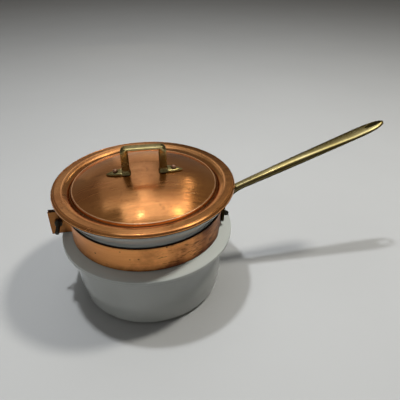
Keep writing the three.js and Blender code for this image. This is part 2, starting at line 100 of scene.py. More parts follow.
def turned(line, steps):
    """Grid of a line of (radius r, height h) carried once round the Z axis, an angle a at a
    time: (r cos a, r sin a, h)."""
    angle = np.linspace(0, 2 * math.pi, steps + 1)
    radius, height = line[:, :1], line[:, 1:]
    return np.stack(np.broadcast_arrays(radius * np.cos(angle), radius * np.sin(angle), height), 2)


def add_piece(name, grids, body, nodes, material, tarnish_and_shade=None):
    """One smooth mesh from grids of points in millimetres. Points that meet, at seams, at
    poles and between grids, become one, faces turn outward, and edges sharper than 38
    degrees stay crisp. A rule may give each point its share of tarnish and painted shade,
    from 0 to 1. The piece rides on its body and stands for the named nodes of the frame."""
    points, faces, start = [], [], 0
    for grid in grids:
        rows, columns = grid.shape[:2]
        index = np.arange(rows * columns).reshape(rows, columns) + start
        quads = [index[:-1, :-1], index[1:, :-1], index[1:, 1:], index[:-1, 1:]]
        points.append(grid.reshape(-1, 3))
        faces.append(np.stack(quads, 2).reshape(-1, 4))
        start += rows * columns
    mesh = bpy.data.meshes.new(name)
    mesh.from_pydata((np.concatenate(points) * MM).tolist(), [], np.concatenate(faces).tolist())
    skin = bmesh.new()
    skin.from_mesh(mesh)
    bmesh.ops.remove_doubles(skin, verts=skin.verts, dist=1e-6)
    bmesh.ops.recalc_face_normals(skin, faces=skin.faces)
    skin.to_mesh(mesh)
    skin.free()
    mesh.shade_smooth()
    mesh.set_sharp_from_angle(angle=math.radians(38))
    mesh.materials.append(material)
    if tarnish_and_shade is not None:
        places = np.empty(len(mesh.vertices) * 3)
        mesh.vertices.foreach_get("co", places)
        amount = tarnish_and_shade(*(places.reshape(-1, 3) / MM).T)
        layer = mesh.attributes.new("tarnish_and_shade", "FLOAT", "POINT")
        layer.data.foreach_set("value", np.clip(amount, 0, 1))
    piece = bpy.data.objects.new(name, mesh)
    bpy.context.scene.collection.objects.link(piece)
    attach(piece, body)
    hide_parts(*nodes)


def linear(code):
    """A colour written as six hex digits, in linear light, with full alpha."""
    parts = np.array([int(code[i : i + 2], 16) for i in (0, 2, 4)]) / 255
    light = np.where(parts <= 0.04045, parts / 12.92, ((parts + 0.055) / 1.055) ** 2.4)
    return (*light.tolist(), 1.0)


def finish_of(name, roughness, metallic=0.0, ior=None):
    """A new material with the finish's typical values, which a pattern may take over:
    (material, tree, principled shader)."""
    material = bpy.data.materials.new(name)
    material.use_nodes = True
    shader = material.node_tree.nodes["Principled BSDF"]
    shader.inputs["Roughness"].default_value = roughness
    shader.inputs["Metallic"].default_value = metallic
    if ior is not None:
        shader.inputs["IOR"].default_value = ior
    return material, material.node_tree, shader


def add(tree, kind, inputs, out=0, **settings):
    """Adds one node and gives back one of its outputs. Inputs are values or other nodes'
    outputs, by name or number: a MapRange carries 0 from the span 1 to 2 over to the span
    3 to 4, and a Mix goes by its share 0 from colour 6 to colour 7, or from value 2 to 3."""
    node = tree.nodes.new("ShaderNode" + kind)
    for key, value in settings.items():
        setattr(node, key, value)
    for key, value in inputs.items():
        if isinstance(value, bpy.types.NodeSocket):
            tree.links.new(value, node.inputs[key])
        else:
            node.inputs[key].default_value = value
    return node.outputs[out]


base_radius, body_radius, shoulder_radius = 74.0, 78.4, 87.6
neck_radius, flare_radius, lip_radius = 73.9, 75.936, 85.3
foot_recess, shoulder_foot, shoulder_top, neck_foot = 0.7, 66.7, 71.5, 75.1
flare_foot, lip_foot, pot_height = 103.5, 117.0, 123.4
wall, floor_top, lip_round = 4.8, 6.0, 2.16
# The copper band goes round the neck between these heights.
band_bottom, band_height = 75.9, 25.4
band_top = band_bottom + band_height
# Corners (radius, height, fillet) from the middle underneath up the outside, over the lip
# and down the inside to the middle of the floor.
pot_outline = rounded([
    (0, foot_recess, 0),
    (60.5, foot_recess, 1),
    (61.6, 0, 0.5),
    (base_radius, 0, 13),
    (77.6, 24, 50),
    (body_radius, 63.5, 2),
    (shoulder_radius, shoulder_foot, 2),
    (shoulder_radius, shoulder_top, 1.3),
    (neck_radius, neck_foot, 0.8),
    (flare_radius, flare_foot, 6),
    (lip_radius, lip_foot, 6),
    (lip_radius, pot_height, lip_round),
    (lip_radius - wall, pot_height, lip_round),
    (lip_radius - wall, 115.9, 6),
    (71.1, 102.4, 6),
    (neck_radius - wall, 72.7, 5),
    (shoulder_radius - wall, 68.6, 4),
    (74.9, 62, 5),
    (69.3, floor_top, 9),
    (0, floor_top, 0),
])
blend = {"out": 2, "data_type": "RGBA"}  # what makes a Mix one of colours

glaze, tree, shader = finish_of("glazed_porcelain", 0.1, ior=1.5)
place = add(tree, "TexCoord", {}, out=3)
height = add(tree, "SeparateXYZ", {0: place}, out=2)
# Cool white with a faint warm cast in patches tens of millimetres across.
cast = add(tree, "TexNoise", {"Vector": place, "Scale": 30.0, "Detail": 3.0})
white = add(tree, "Mix", {0: cast, 6: linear("bfc2bf"), 7: linear("babcb7")}, **blend)
# The greyer body and the whiter glaze on the shoulder's top, up to behind the band, are
# shaded and lit copies of one glaze: painted shade below, painted light on the lit top.
from_top = (shoulder_top - 1.2) * MM
lower = add(tree, "MapRange", {0: height, 1: from_top, 2: from_top + MM, 3: 0.0, 4: 1.0})
upper = add(tree, "MapRange", {0: height, 1: 80 * MM, 2: 90 * MM, 3: 1.0, 4: 0.0})
lit_shoulder_top = add(tree, "Math", {0: lower, 1: upper}, operation="MULTIPLY")
white = add(tree, "Mix", {0: lit_shoulder_top, 6: white, 7: linear("e4ebe8")}, **blend)
# Iron specks half a millimetre across, a few in each square centimetre, most of them faint.
speck_size = add(tree, "TexVoronoi", {"Vector": place, "Scale": 420.0})
speck = add(tree, "MapRange", {0: speck_size, 1: 0.07, 2: 0.13, 3: 1.0, 4: 0.0})
rare = add(tree, "TexNoise", {"Vector": place, "Scale": 190.0, "Detail": 1.0})
rare_only = add(tree, "MapRange", {0: rare, 1: 0.6, 2: 0.72, 3: 0.0, 4: 0.55})
speck = add(tree, "Math", {0: speck, 1: rare_only}, operation="MULTIPLY")
specked = add(tree, "Mix", {0: speck, 6: white, 7: linear("6a5f50")}, **blend)
# The foot ring and the recessed base inside it are bare and buff, with a millimetre's grit.
to_glaze = (foot_recess + 0.2) * MM
bare = add(tree, "MapRange", {0: height, 1: to_glaze, 2: to_glaze + 0.4 * MM, 3: 1.0, 4: 0.0})
grit = add(tree, "TexNoise", {"Vector": place, "Scale": 900.0, "Detail": 4.0})
biscuit = add(tree, "Mix", {0: grit, 6: linear("b9b2a2"), 7: linear("d2ccbe")}, **blend)
colour = add(tree, "Mix", {0: bare, 6: specked, 7: biscuit}, **blend)
# Painted shade, near black, in the groove between the band's upper edge and the flare, and
# in a thin line behind the band's lower edge, where the gaps lie in shadow.
top, foot = band_top * MM, band_bottom * MM
above = add(tree, "MapRange", {0: height, 1: top + 0.4 * MM, 2: top + MM, 3: 1.0, 4: 0.0})
below = add(tree, "MapRange", {0: height, 1: top - 1.3 * MM, 2: top - 0.3 * MM, 3: 0.0, 4: 1.0})
groove = add(tree, "Math", {0: above, 1: below}, operation="MULTIPLY")
low = add(tree, "MapRange", {0: height, 1: foot - 0.7 * MM, 2: foot - 0.1 * MM, 3: 0.0, 4: 0.8})
high = add(tree, "MapRange", {0: height, 1: foot + 0.6 * MM, 2: foot + 1.6 * MM, 3: 1.0, 4: 0.0})
sill = add(tree, "Math", {0: high, 1: low}, operation="MULTIPLY")
level = add(tree, "VectorMath", {0: place, 1: (1.0, 1.0, 0.0)}, operation="MULTIPLY")
reach = add(tree, "VectorMath", {0: level}, out=1, operation="LENGTH")
in_wall = (neck_radius - 1.7) * MM
outside = add(tree, "MapRange", {0: reach, 1: in_wall, 2: in_wall + 0.4 * MM, 3: 0.0, 4: 0.85})
painted_gap_shade = add(tree, "Math", {0: groove, 1: sill}, operation="MAXIMUM")
painted_gap_shade = add(tree, "Math", {0: painted_gap_shade, 1: outside}, operation="MULTIPLY")
colour = add(tree, "Mix", {0: painted_gap_shade, 6: colour, 7: linear("1d140d")}, **blend)
tree.links.new(colour, shader.inputs["Base Color"])
# Glassy, a touch duller in patches that spoons and wiping have rubbed, matt where bare.
rubbed = add(tree, "TexNoise", {"Vector": place, "Scale": 55.0, "Detail": 6.0})
gloss = add(tree, "MapRange", {0: rubbed, 1: 0.35, 2: 0.7, 3: 0.05, 4: 0.11})
dull = add(tree, "Mix", {0: bare, 2: gloss, 3: 0.75}, data_type="FLOAT")
tree.links.new(dull, shader.inputs["Roughness"])
# The glaze ripples by a few hundredths of a millimetre over a centimetre.
ripple = add(tree, "TexNoise", {"Vector": place, "Scale": 95.0, "Detail": 2.0})
relief = add(tree, "Bump", {"Strength": 0.25, "Distance": 0.3 * MM, "Height": ripple})
tree.links.new(relief, shader.inputs["Normal"])

pot_grid = turned(spread(pot_outline, 3), 240)
add_piece("glazed_pot", [pot_grid], "pot", ["porcelain_pot"], glaze)

# Neck band. A strap of copper sheet bent round the neck and leaning out with it; both ends
# turn out into ears that the bolt draws together. Its edges are broken with a file, and
# years of tightening have sprung the lower one off the neck, except under the handle.

lean = math.tan(math.radians(4.1))
band_sheet, band_radius = 1.4, 75.868
band_middle = band_bottom + band_height / 2
ear_offset, ear_end, ear_bend = 1.75, 96.168, 2.9
ear_length = ear_end - band_radius - band_sheet / 2
bend_radius = band_radius + ear_bend
bend_x = math.sqrt(bend_radius**2 - (ear_offset + ear_bend) ** 2)
bend_angle = math.asin((ear_offset + ear_bend) / bend_radius)
edge_spring, edge_drop = 1.3, 0.9
spring_start, spring_run = 0.42, 0.15  # radians round from the handle's middle


def band_path():
    """The strap's middle line in plan, from one ear's end to the other's, with the unit
    normals that point to its outer face: straight ear, quarter bend, ring, bend, ear."""
    ear = np.linspace(ear_end, bend_x, 24, endpoint=False)
    ear_line = np.stack([-ear, np.full_like(ear, ear_offset)], 1)
    ear_out = np.broadcast_to([0.0, 1.0], ear_line.shape)
    turn = np.linspace(0, math.pi / 2 - bend_angle, 12, endpoint=False)
    bend_out = np.stack([np.sin(-turn), np.cos(turn)], 1)
    bend_centre = np.array([-bend_x, ear_offset + ear_bend])
    bend_line = bend_centre - bend_out * ear_bend
    angle = np.linspace(math.pi - bend_angle, 0, 170)
    ring_out = np.stack([np.cos(angle), np.sin(angle)], 1)
    half_line = np.concatenate([ear_line, bend_line, ring_out * band_radius])
    half_out = np.concatenate([ear_out, bend_out, ring_out])
    mirror = np.array([1.0, -1.0])
    line = np.concatenate([half_line, (half_line * mirror)[-2::-1]])
    out = np.concatenate([half_out, (half_out * mirror)[-2::-1]])
    return line, out


def strap_section():
    """The strap's section as (across the sheet, up), closed, with broken edges."""
    a, b, filed = band_sheet / 2, band_height / 2, 0.35
    edges = [(a, -b, filed), (a, b, filed), (-a, b, filed), (-a, -b, filed)]
    return spread(rounded([(0, -b, 0), *edges, (0, -b, 0)]), 2)


def drawn_in(row, share):
    """A closed row of points moved towards its middle by a share of the way."""
    return row * (1 - share) + row.mean(1, keepdims=True) * share


def neck_band():
    """The section carried along the path. It leans out with the neck by its height times
    the lean, less and less along the ears, which end upright. Its lower half also hangs
    lower in proportion to its depth, and stands off by the square of it. Each end closes
    on its middle."""
    line, out = band_path()
    section = strap_section()
    across, up = section[None, :, 0], section[None, :, 1]
    x = line[:, :1] + out[:, :1] * across
    y = line[:, 1:] + out[:, 1:] * across
    radius = np.hypot(x, y)
    share = np.clip((ear_end - radius) / ear_length, 0, 1)
    low = np.clip(-2 * up / band_height, 0, 1)
    beside_plate = np.clip((np.abs(np.arctan2(y, x)) - spring_start) / spring_run, 0, 1)
    out_by = share * (up * lean + edge_spring * beside_plate * low**2)
    x, y = x * (1 + out_by / radius), y * (1 + out_by / radius)
    z = np.broadcast_to(up - edge_drop * low + band_middle, x.shape)
    strap = np.stack([x, y, z], 2)
    first, last = strap[:1], strap[-1:]
    near_end = [drawn_in(first, 1.0), drawn_in(first, 0.5)]
    return np.concatenate([*near_end, strap, drawn_in(last, 0.5), drawn_in(last, 1.0)])


def lines_round(tree, outward, measure, slow, fast):
    """Noise drawn out into lines round the Z axis: its place is the direction outward times
    slow, plus, on Z, a measure across the lines times fast."""
    along = add(tree, "VectorMath", {0: outward, 1: (slow, slow, 0.0)}, operation="MULTIPLY")
    across = add(tree, "Math", {0: measure, 1: fast}, operation="MULTIPLY")
    across = add(tree, "CombineXYZ", {2: across})
    place = add(tree, "VectorMath", {0: along, 1: across}, operation="ADD")
    return add(tree, "TexNoise", {"Vector": place, "Scale": 1.0, "Detail": 5.0})


strap_copper, tree, shader = finish_of("worn_strap_copper", 0.35, metallic=1.0)
place = add(tree, "TexCoord", {}, out=3)
height = add(tree, "SeparateXYZ", {0: place}, out=2)
level = add(tree, "VectorMath", {0: place, 1: (1.0, 1.0, 0.0)}, operation="MULTIPLY")
outward = add(tree, "VectorMath", {0: level}, operation="NORMALIZE")
# Rolling and polishing lines that run round the strap, drawn out some 30 mm long.
lines = lines_round(tree, outward, height, 2.4, 1600.0)
# Cloudy brown tarnish in patches a centimetre or two wide, heavier towards the lower edge,
# where food and heat reach it. Across the strap it thins to the left, a painted reflection
# of the lit floor, and thickens on the handle's side, painted shade with more scratches there.
cloud = add(tree, "TexNoise", {"Vector": place, "Scale": 42.0, "Detail": 7.0, "Roughness": 0.62})
low = add(tree, "MapRange", {0: height, 1: foot - 0.4 * MM, 2: foot + 5.6 * MM, 3: 0.2, 4: 0.0})
across = add(tree, "SeparateXYZ", {0: place})
# Left to right: lighter as painted reflection on the left, darker as painted shade on the handle's
# side.
side_light_and_wear = add(tree, "MapRange", {0: across, 1: -50 * MM, 2: 45 * MM, 3: -0.14, 4: 0.2})
low = add(tree, "Math", {0: low, 1: side_light_and_wear}, operation="ADD")
tarnish_and_shade = add(tree, "Math", {0: cloud, 1: low}, operation="ADD")
tarnish_and_shade = add(tree, "MapRange", {0: tarnish_and_shade, 1: 0.46, 2: 0.86, 3: 0.0, 4: 1.0})
clean = add(tree, "Mix", {0: lines, 6: linear("efa767"), 7: linear("d98f50")}, **blend)
browned = add(tree, "Mix", {0: tarnish_and_shade, 6: clean, 7: linear("7d4a2c")}, **blend)
# The attribute paints shade along the strap's shadowed edges and darkens the ears.
edges = add(tree, "Attribute", {}, out=2, attribute_name="tarnish_and_shade")
browned = add(tree, "Mix", {0: edges, 6: browned, 7: linear("24140c")}, **blend)
# Dark spots a millimetre across, scattered, and short scratches along the strap, more of
# them on the handle's side, that are dark with what has settled in them.
spot_size = add(tree, "TexVoronoi", {"Vector": place, "Scale": 95.0})
spots = add(tree, "MapRange", {0: spot_size, 1: 0.05, 2: 0.11, 3: 0.85, 4: 0.0})
stretch = add(tree, "VectorMath", {0: place, 1: (120.0, 60.0, 700.0)}, operation="MULTIPLY")
nick = add(tree, "TexNoise", {"Vector": stretch, "Scale": 1.0, "Detail": 2.0})
nick = add(tree, "Math", {0: nick, 1: side_light_and_wear}, operation="ADD")
nick = add(tree, "MapRange", {0: nick, 1: 0.7, 2: 0.78, 3: 0.0, 4: 0.75})
marks = add(tree, "Math", {0: spots, 1: nick}, operation="MAXIMUM")
colour = add(tree, "Mix", {0: marks, 6: browned, 7: linear("4a2b1c")}, **blend)
tree.links.new(colour, shader.inputs["Base Color"])
# Satin, rougher where it is tarnished, with the rolling lines just felt.
satin = add(tree, "MapRange", {0: lines, 1: 0.3, 2: 0.7, 3: 0.3, 4: 0.42})
rough = add(tree, "MapRange", {0: tarnish_and_shade, 1: 0.0, 2: 1.0, 3: 0.0, 4: 0.16})
rough = add(tree, "Math", {0: satin, 1: rough}, operation="ADD")
tree.links.new(rough, shader.inputs["Roughness"])
relief = add(tree, "Bump", {"Strength": 0.3, "Distance": 0.04 * MM, "Height": lines})
tree.links.new(relief, shader.inputs["Normal"])


def strap_darkening(x, y, z):
    """Painted shade on the last half millimetre at the strap's upper edge and, half as dark, at
    its lower edge, where the gaps lie in shadow; the ears are darker from their bends outward."""
    ear_root = 78.0
    rise = z - band_middle
    # The lower half, as it was before it dropped.
    rise = np.where(rise > 0, rise, rise / (1 + 2 * edge_drop / band_height))
    edge = np.clip((np.abs(rise) - band_height / 2 + 0.5) / 0.4, 0, 1)
    ear = 0.6 * np.clip((-x - ear_root) / 5, 0, 1)
    return np.maximum(edge * np.where(rise > 0, 1.0, 0.55), ear)


add_piece("neck_strap", [neck_band()], "pot", ["neck_band"], strap_copper, strap_darkening)

# Clamp bolt and nut. A slotted round-headed steel bolt through both ears with a hexagon
# nut on the near side; both have gone almost black, with a trace of rust in the thread.

ear_face = ear_offset + band_sheet / 2
seat_gap = 0.3  # play between a fastener or a foot and the face that it is drawn down on
bolt_radius, bolt_length = 87.768, 24.0
thread_radius, thread_pitch, thread_depth, point_depth = 2.0, 0.7, 0.3, 0.45
head_radius, head_height, slot_half, slot_depth = 4.0, 2.8, 0.55, 1.2
nut_flat, nut_bore, nut_half, nut_bevel = 3.5, 2.15, 1.6, 0.3


def stand(points, origin, direction):
    """Points made about the Z axis, moved so that Z lies along a direction and the axis
    passes through an origin, with the turn that bends Z straight there."""
    turn = Vector((0, 0, 1)).rotation_difference(Vector(direction))
    return points @ np.array(turn.to_matrix()).T + np.array(origin)


def bolt_head():
    """Rows across the slot, each a closed loop: flat seat below, crown above, cut down to
    the slot's floor between its two walls. The crown is level in the middle, and from there
    falls as a quarter circle, corner - sqrt(corner^2 - past^2), to just above the seat."""
    side = np.sin(np.linspace(-math.pi / 2, math.pi / 2, 41)) * head_radius
    brink = slot_half + 0.03
    across = np.concatenate([
        side[side < -brink - 0.02],
        [-brink, -slot_half, -slot_half, slot_half, slot_half, brink],
        side[side > brink + 0.02],
    ])
    in_slot = np.zeros(len(across), bool)
    first = np.searchsorted(across, -slot_half)
    in_slot[first + 1 : first + 3] = True
    reach = np.sqrt(np.maximum(head_radius**2 - across**2, 0))[:, None]
    share = np.sin(np.linspace(-math.pi / 2, math.pi / 2, 33))
    x = reach * share
    corner = head_height * 0.8
    past = np.maximum(np.hypot(x, across[:, None]) - (head_radius - corner), 0)
    top = head_height - corner + np.sqrt(np.maximum(corner**2 - past**2, 0))
    top = np.where(in_slot[:, None], np.minimum(top, head_height - slot_depth), top)
    y = np.broadcast_to(across[:, None], x.shape)
    crown = np.stack([x, y, top], 2)
    seat = np.stack([x, y, np.zeros_like(x)], 2)[:, ::-1]
    return np.concatenate([crown, seat, crown[:, :1]], 1)


def bolt_shank():
    """The threaded shank: a rod whose radius falls by the thread's depth and rises again
    once a pitch, a little later with each step round, so that the ridge winds. The last
    pitch is turned down to a blunt point, and both ends close on the axis."""
    height = np.linspace(-bolt_length, 0.2, 700)[:, None]
    angle = np.linspace(0, 2 * math.pi, 33)[None, :]
    phase = (height / thread_pitch + angle / (2 * math.pi)) % 1
    ridge = np.abs(phase - 0.5) * 2
    fade = np.clip((height + bolt_length) / thread_pitch, 0, 1)
    radius = thread_radius - point_depth * (1 - fade) - thread_depth * ridge * fade
    radius[[0, -1]] = 0
    z = np.broadcast_to(height, radius.shape).copy()
    z[0] = z[1]
    return np.stack([radius * np.cos(angle), radius * np.sin(angle), z], 2)


def hexagon_nut():
    """Rings (radius, height) from the bore over the upper face and down the outside, then
    the same upside down. The outside is flat / (sum |cos(a - k 60 deg)|^26)^(1/26), a
    hexagon with slightly soft corners, and the faces are turned down by 0.6 of what the
    corners stick out past the flats."""
    angle = np.linspace(0, 2 * math.pi, 181)
    rays = np.abs(np.cos(angle[:, None] - np.arange(3) * math.pi / 3)) ** 26
    outside = nut_flat / rays.sum(1) ** (1 / 26)
    shoulder = nut_half - (outside - nut_flat) * 0.6
    upper = [
        (nut_bore, nut_half - nut_bevel),
        (nut_bore + nut_bevel, nut_half),
        (nut_flat * 0.94, nut_half),
        (outside - 0.12, shoulder - 0.04),
        (outside, shoulder - 0.2),
    ]
    lower = [(radius, -height) for radius, height in reversed(upper)]
    cos, sin = np.cos(angle), np.sin(angle)
    rings = [*upper, *lower, upper[0]]
    return np.stack([np.stack(np.broadcast_arrays(r * cos, r * sin, z), 1) for r, z in rings])


black_steel, tree, shader = finish_of("blackened_steel", 0.42, metallic=0.85)
place = add(tree, "TexCoord", {}, out=3)
# Near black, and dark grey in spots of a millimetre or two, which are rougher and stand up
# by a hair.
mottle = add(tree, "TexNoise", {"Vector": place, "Scale": 520.0, "Detail": 6.0})
dark = add(tree, "Mix", {0: mottle, 6: linear("2b2d29"), 7: linear("55544b")}, **blend)
# Rust sits in patches three or four millimetres wide.
rust_at = add(tree, "TexNoise", {"Vector": place, "Scale": 260.0, "Detail": 4.0})
rust = add(tree, "MapRange", {0: rust_at, 1: 0.56, 2: 0.72, 3: 0.0, 4: 0.75})
colour = add(tree, "Mix", {0: rust, 6: dark, 7: linear("5a3521")}, **blend)
tree.links.new(colour, shader.inputs["Base Color"])
rough = add(tree, "MapRange", {0: mottle, 1: 0.3, 2: 0.75, 3: 0.32, 4: 0.6})
tree.links.new(rough, shader.inputs["Roughness"])
relief = add(tree, "Bump", {"Strength": 0.5, "Distance": 0.08 * MM, "Height": mottle})
tree.links.new(relief, shader.inputs["Normal"])

bolt_seat = (-bolt_radius, ear_face + seat_gap, band_middle)
nut_seat = (-bolt_radius, -ear_face - seat_gap - nut_half, band_middle)
bolt_grids = [stand(grid, bolt_seat, (0, 1, 0)) for grid in (bolt_head(), bolt_shank())]
add_piece("clamp_screw", bolt_grids, "pot", ["clamp_bolt"], black_steel)
nut_grids = [stand(hexagon_nut(), nut_seat, (0, 1, 0))]
add_piece("clamp_hexagon_nut", nut_grids, "pot", ["clamp_nut"], black_steel)

# Handle. One brass casting: an oval plate bent to the band, a root that narrows to a waist,
# a blade that widens to a rounded end, and a slot that it hangs by. Hands keep its upper
# face polished; the plate, the flanks, the slot and the underside are darkened with painted
# shade over some patina.

plate_inner, plate_thick, plate_half_length, plate_half_height = 76.868, 3.2, 30.0, 11.0
plate_outer, plate_crown = plate_inner + plate_thick, 0.35
blade_rise = math.radians(20.9)
blade_ahead = np.array([math.cos(blade_rise), math.sin(blade_rise)])
blade_length, tip_length, tip_lift = 159.3, 35.0, 0.4
root_rise, waist_reach, waist_rise = 4, 22, 18.3
root_start = np.array([plate_inner + plate_thick / 2, band_middle + root_rise])
root_end = np.array([plate_outer + waist_reach, band_middle + waist_rise])
# Half the casting's width and depth at the waist, and what its other parts add to them.
waist_width, end_width, root_width, fillet_width = 4.9, 3.9, 3.6, 2.2
waist_depth, belly_depth, end_depth, root_depth, fillet_depth = 3.3, 3.4, -0.9, 3.4, 0.6
fillet_start, fillet_length = 1.6, 3.2
hole_inset, hole_half_length, hole_half_width, hole_edge = 11.6, 8.0, 2.6, 0.5


def boxed(wave, power):
    """A sine or cosine flattened towards a square wave: its sign times |wave|^power. As the
    two coordinates of a section they make a rounded box of a circle."""
    return np.sign(wave) * np.abs(wave) ** power


def mounting_plate():
    """Stations t from -1 to 1 along the plate, each a rounded box that stands square to the
    band. The half height goes as sqrt(1 - t^4), an oval with full ends, and the thickness
    as sqrt(1 - t^12), so both close at the ends; the outer face is crowned both ways."""
    along = -np.cos(np.linspace(0, math.pi, 121))[:, None]
    around = np.linspace(0, 2 * math.pi, 73)[None, :]
    half = plate_half_height * np.sqrt(np.maximum(1 - along**4, 0))
    up = half * boxed(np.cos(around), 2 / 5)
    crown = plate_crown * (1 - (up / plate_half_height) ** 2) * (1 - along**2)
    out = plate_thick / 2 * boxed(np.sin(around), 2 / 5) * np.sqrt(np.maximum(1 - along**12, 0))
    out = out + np.where(out > 0, crown, 0)
    angle = along * plate_half_length / plate_inner
    radius = plate_inner + plate_thick / 2 + out + up * lean
    z = band_middle + up - out * lean
    return np.stack(np.broadcast_arrays(radius * np.cos(angle), radius * np.sin(angle), z), 2)


def handle_line():
    """The handle's middle line in the XZ plane as densely spaced points, with each point's
    distance along it: a cubic Bezier curve for the root, which leaves the plate on a slant
    and ends along the blade, a straight blade, and a tip that lifts by the square."""
    t = np.linspace(0, 1, 400)[:, None]
    pull = 8.8
    first = root_start + np.array([pull * 0.8, pull * 0.7])
    second = root_end - blade_ahead * pull
    root = (1 - t) ** 3 * root_start + 3 * (1 - t) ** 2 * t * first
    root = root + 3 * (1 - t) * t**2 * second + t**3 * root_end
    straight = root_end + blade_ahead * (blade_length - tip_length) * t[1:]
    tip = straight[-1] + blade_ahead * tip_length * t[1:] + np.array([0, tip_lift]) * t[1:] ** 2
    path = np.concatenate([root, straight, tip])
    run = np.concatenate([[0], np.cumsum(np.linalg.norm(np.diff(path, axis=0), axis=1))])
    return path, run


handle_path, handle_run = handle_line()
handle_length = handle_run[-1]
root_length = handle_length - blade_length
hole_middle = handle_length - hole_inset


def handle_forms(s):
    """What the casting's forms amount to at a distance s, each from 0 to 1: the root, by the
    square of what is left of it; the blade, in proportion; the tip's closing, as
    sqrt(1 - t^3); and the fillet on the plate, a quarter round."""
    root = np.maximum(0, 1 - s / root_length) ** 2
    blade = np.clip((s - root_length) / (blade_length - tip_length), 0, 1)
    tip = np.clip((s - handle_length + tip_length) / tip_length, 0, 1)
    close = np.sqrt(np.maximum(1 - tip**3, 0))
    fillet = np.maximum(0, 1 - np.maximum(s - fillet_start, 0) / fillet_length)
    return root, blade, close, 1 - np.sqrt(np.maximum(1 - fillet**2, 0))


def half_width(s):
    """Half the casting's width at a distance s: waist, blade and root, closed at the tip,
    and the fillet."""
    root, blade, close, fillet = handle_forms(s)
    return (waist_width + end_width * blade + root_width * root) * close + fillet_width * fillet


def handle_skin(s, w, side):
    """Points of the casting at distances s along it and shares w of its half width, on its
    upper (side 1) or lower (side -1) face. The depth falls off as sqrt(1 - |w|^p), with p
    from 2.9 at the root to 2.3 at the tip, and rolls over by a quarter round into the
    hanging slot. It is laid off square to the middle line, and upright at the plate."""
    root, blade, close, fillet = handle_forms(s)
    belly = waist_depth + belly_depth * blade * (1 - blade) + end_depth * blade
    half_depth = (belly + root_depth * root) * close**0.4 + fillet_depth * fillet
    across = half_width(s) * w
    depth = half_depth * np.sqrt(np.maximum(1 - np.abs(w) ** (2.9 - 0.6 * blade), 0))
    far = ((s - hole_middle) / hole_half_length) ** 2
    far = np.sqrt(far + (across / hole_half_width) ** 2)
    edge = np.clip(1 - (far - 1) * hole_half_width / hole_edge, 0, 1)
    depth = np.maximum(depth - hole_edge * (1 - np.sqrt(1 - edge**2)), 0)

    def on_line(at):
        """The middle line's x and z at some distances along it."""
        return np.stack([np.interp(at, handle_run, handle_path[:, axis]) for axis in (0, 1)])

    x, z = on_line(s)
    ahead_x, ahead_z = on_line(s + 0.4) - on_line(s - 0.4)
    size = np.hypot(ahead_x, ahead_z)
    square = np.clip(s / root_length, 0, 1)
    square = square**2 * (3 - 2 * square)
    up_x, up_z = -ahead_z / size * square, 1 - square + ahead_x / size * square
    size = np.hypot(up_x, up_z)
    x, z = x + side * depth * up_x / size, z + side * depth * up_z / size
    return np.stack(np.broadcast_arrays(x, across, z), 2)


def handle_grids():
    """The casting in parts that meet: both faces before and after the slot, both faces of
    the two cheeks beside it, and the slot's walls."""
    share = np.sin(np.linspace(-math.pi / 2, math.pi / 2, 49))[None, :]
    low, high = hole_middle - hole_half_length, hole_middle + hole_half_length
    approach = 6
    near_low = low - approach * (1 - np.linspace(0, 1, 25)) ** 2
    root = np.linspace(0, root_length, 60)
    blade = np.linspace(root_length, low - approach, 90)
    before = np.concatenate([root, blade[1:], near_low[1:]])[:, None]
    after = high + (handle_length - high) * np.sin(np.linspace(0, math.pi / 2, 30))[:, None]
    beside = hole_middle - hole_half_length * np.cos(np.linspace(0, math.pi, 61))[:, None]
    off_middle = (beside - hole_middle) / hole_half_length
    gap = hole_half_width * np.sqrt(np.maximum(1 - off_middle**2, 0)) / half_width(beside)
    cheek = gap + (1 - gap) * np.sin(np.linspace(0, math.pi / 2, 25))[None, :]
    down = np.linspace(0, 1, 6)[None, :, None]
    grids = []
    for side in (1, -1):
        for s, w in ((before, share), (after, share), (beside, cheek), (beside, -cheek)):
            grids.append(handle_skin(s, w, side))
    for hand in (1, -1):
        top, bottom = (handle_skin(beside, hand * gap, side) for side in (1, -1))
        grids.append(top * (1 - down) + bottom * down)
    grids.append(np.concatenate([handle_skin(before[:1], share, side) for side in (1, -1)]))
    return grids


brass, tree, shader = finish_of("polished_cast_brass", 0.24, metallic=1.0)
place = add(tree, "TexCoord", {}, out=3)
# Yellow brass that drifts, over a few centimetres, between a fresh tone and an olive one
# that has begun to oxidise.
drift = add(tree, "TexNoise", {"Vector": place, "Scale": 38.0, "Detail": 6.0, "Roughness": 0.6})
tone = add(tree, "MapRange", {0: drift, 1: 0.35, 2: 0.68, 3: 0.0, 4: 1.0})
colour = add(tree, "Mix", {0: tone, 6: linear("f4e4a8"), 7: linear("d0bc78")}, **blend)
# Brown freckles where fingers have left salt, half a millimetre to two across.
freckle_at = add(tree, "TexNoise", {"Vector": place, "Scale": 330.0, "Detail": 5.0})
freckle = add(tree, "MapRange", {0: freckle_at, 1: 0.6, 2: 0.74, 3: 0.0, 4: 0.5})
colour = add(tree, "Mix", {0: freckle, 6: colour, 7: linear("5c4a26")}, **blend)
# The attribute turns the brass brown and almost black, and browns what it mirrors at a
# slant: painted shade in corners, recesses, undersides and flanks, over some patina.
darkened = add(tree, "Attribute", {}, out=2, attribute_name="tarnish_and_shade")
colour = add(tree, "Mix", {0: darkened, 6: colour, 7: linear("261e0c")}, **blend)
tree.links.new(colour, shader.inputs["Base Color"])
tint = add(tree, "Mix", {0: darkened, 6: linear("ffffff"), 7: linear("463a22")}, **blend)
tree.links.new(tint, shader.inputs["Specular Tint"])
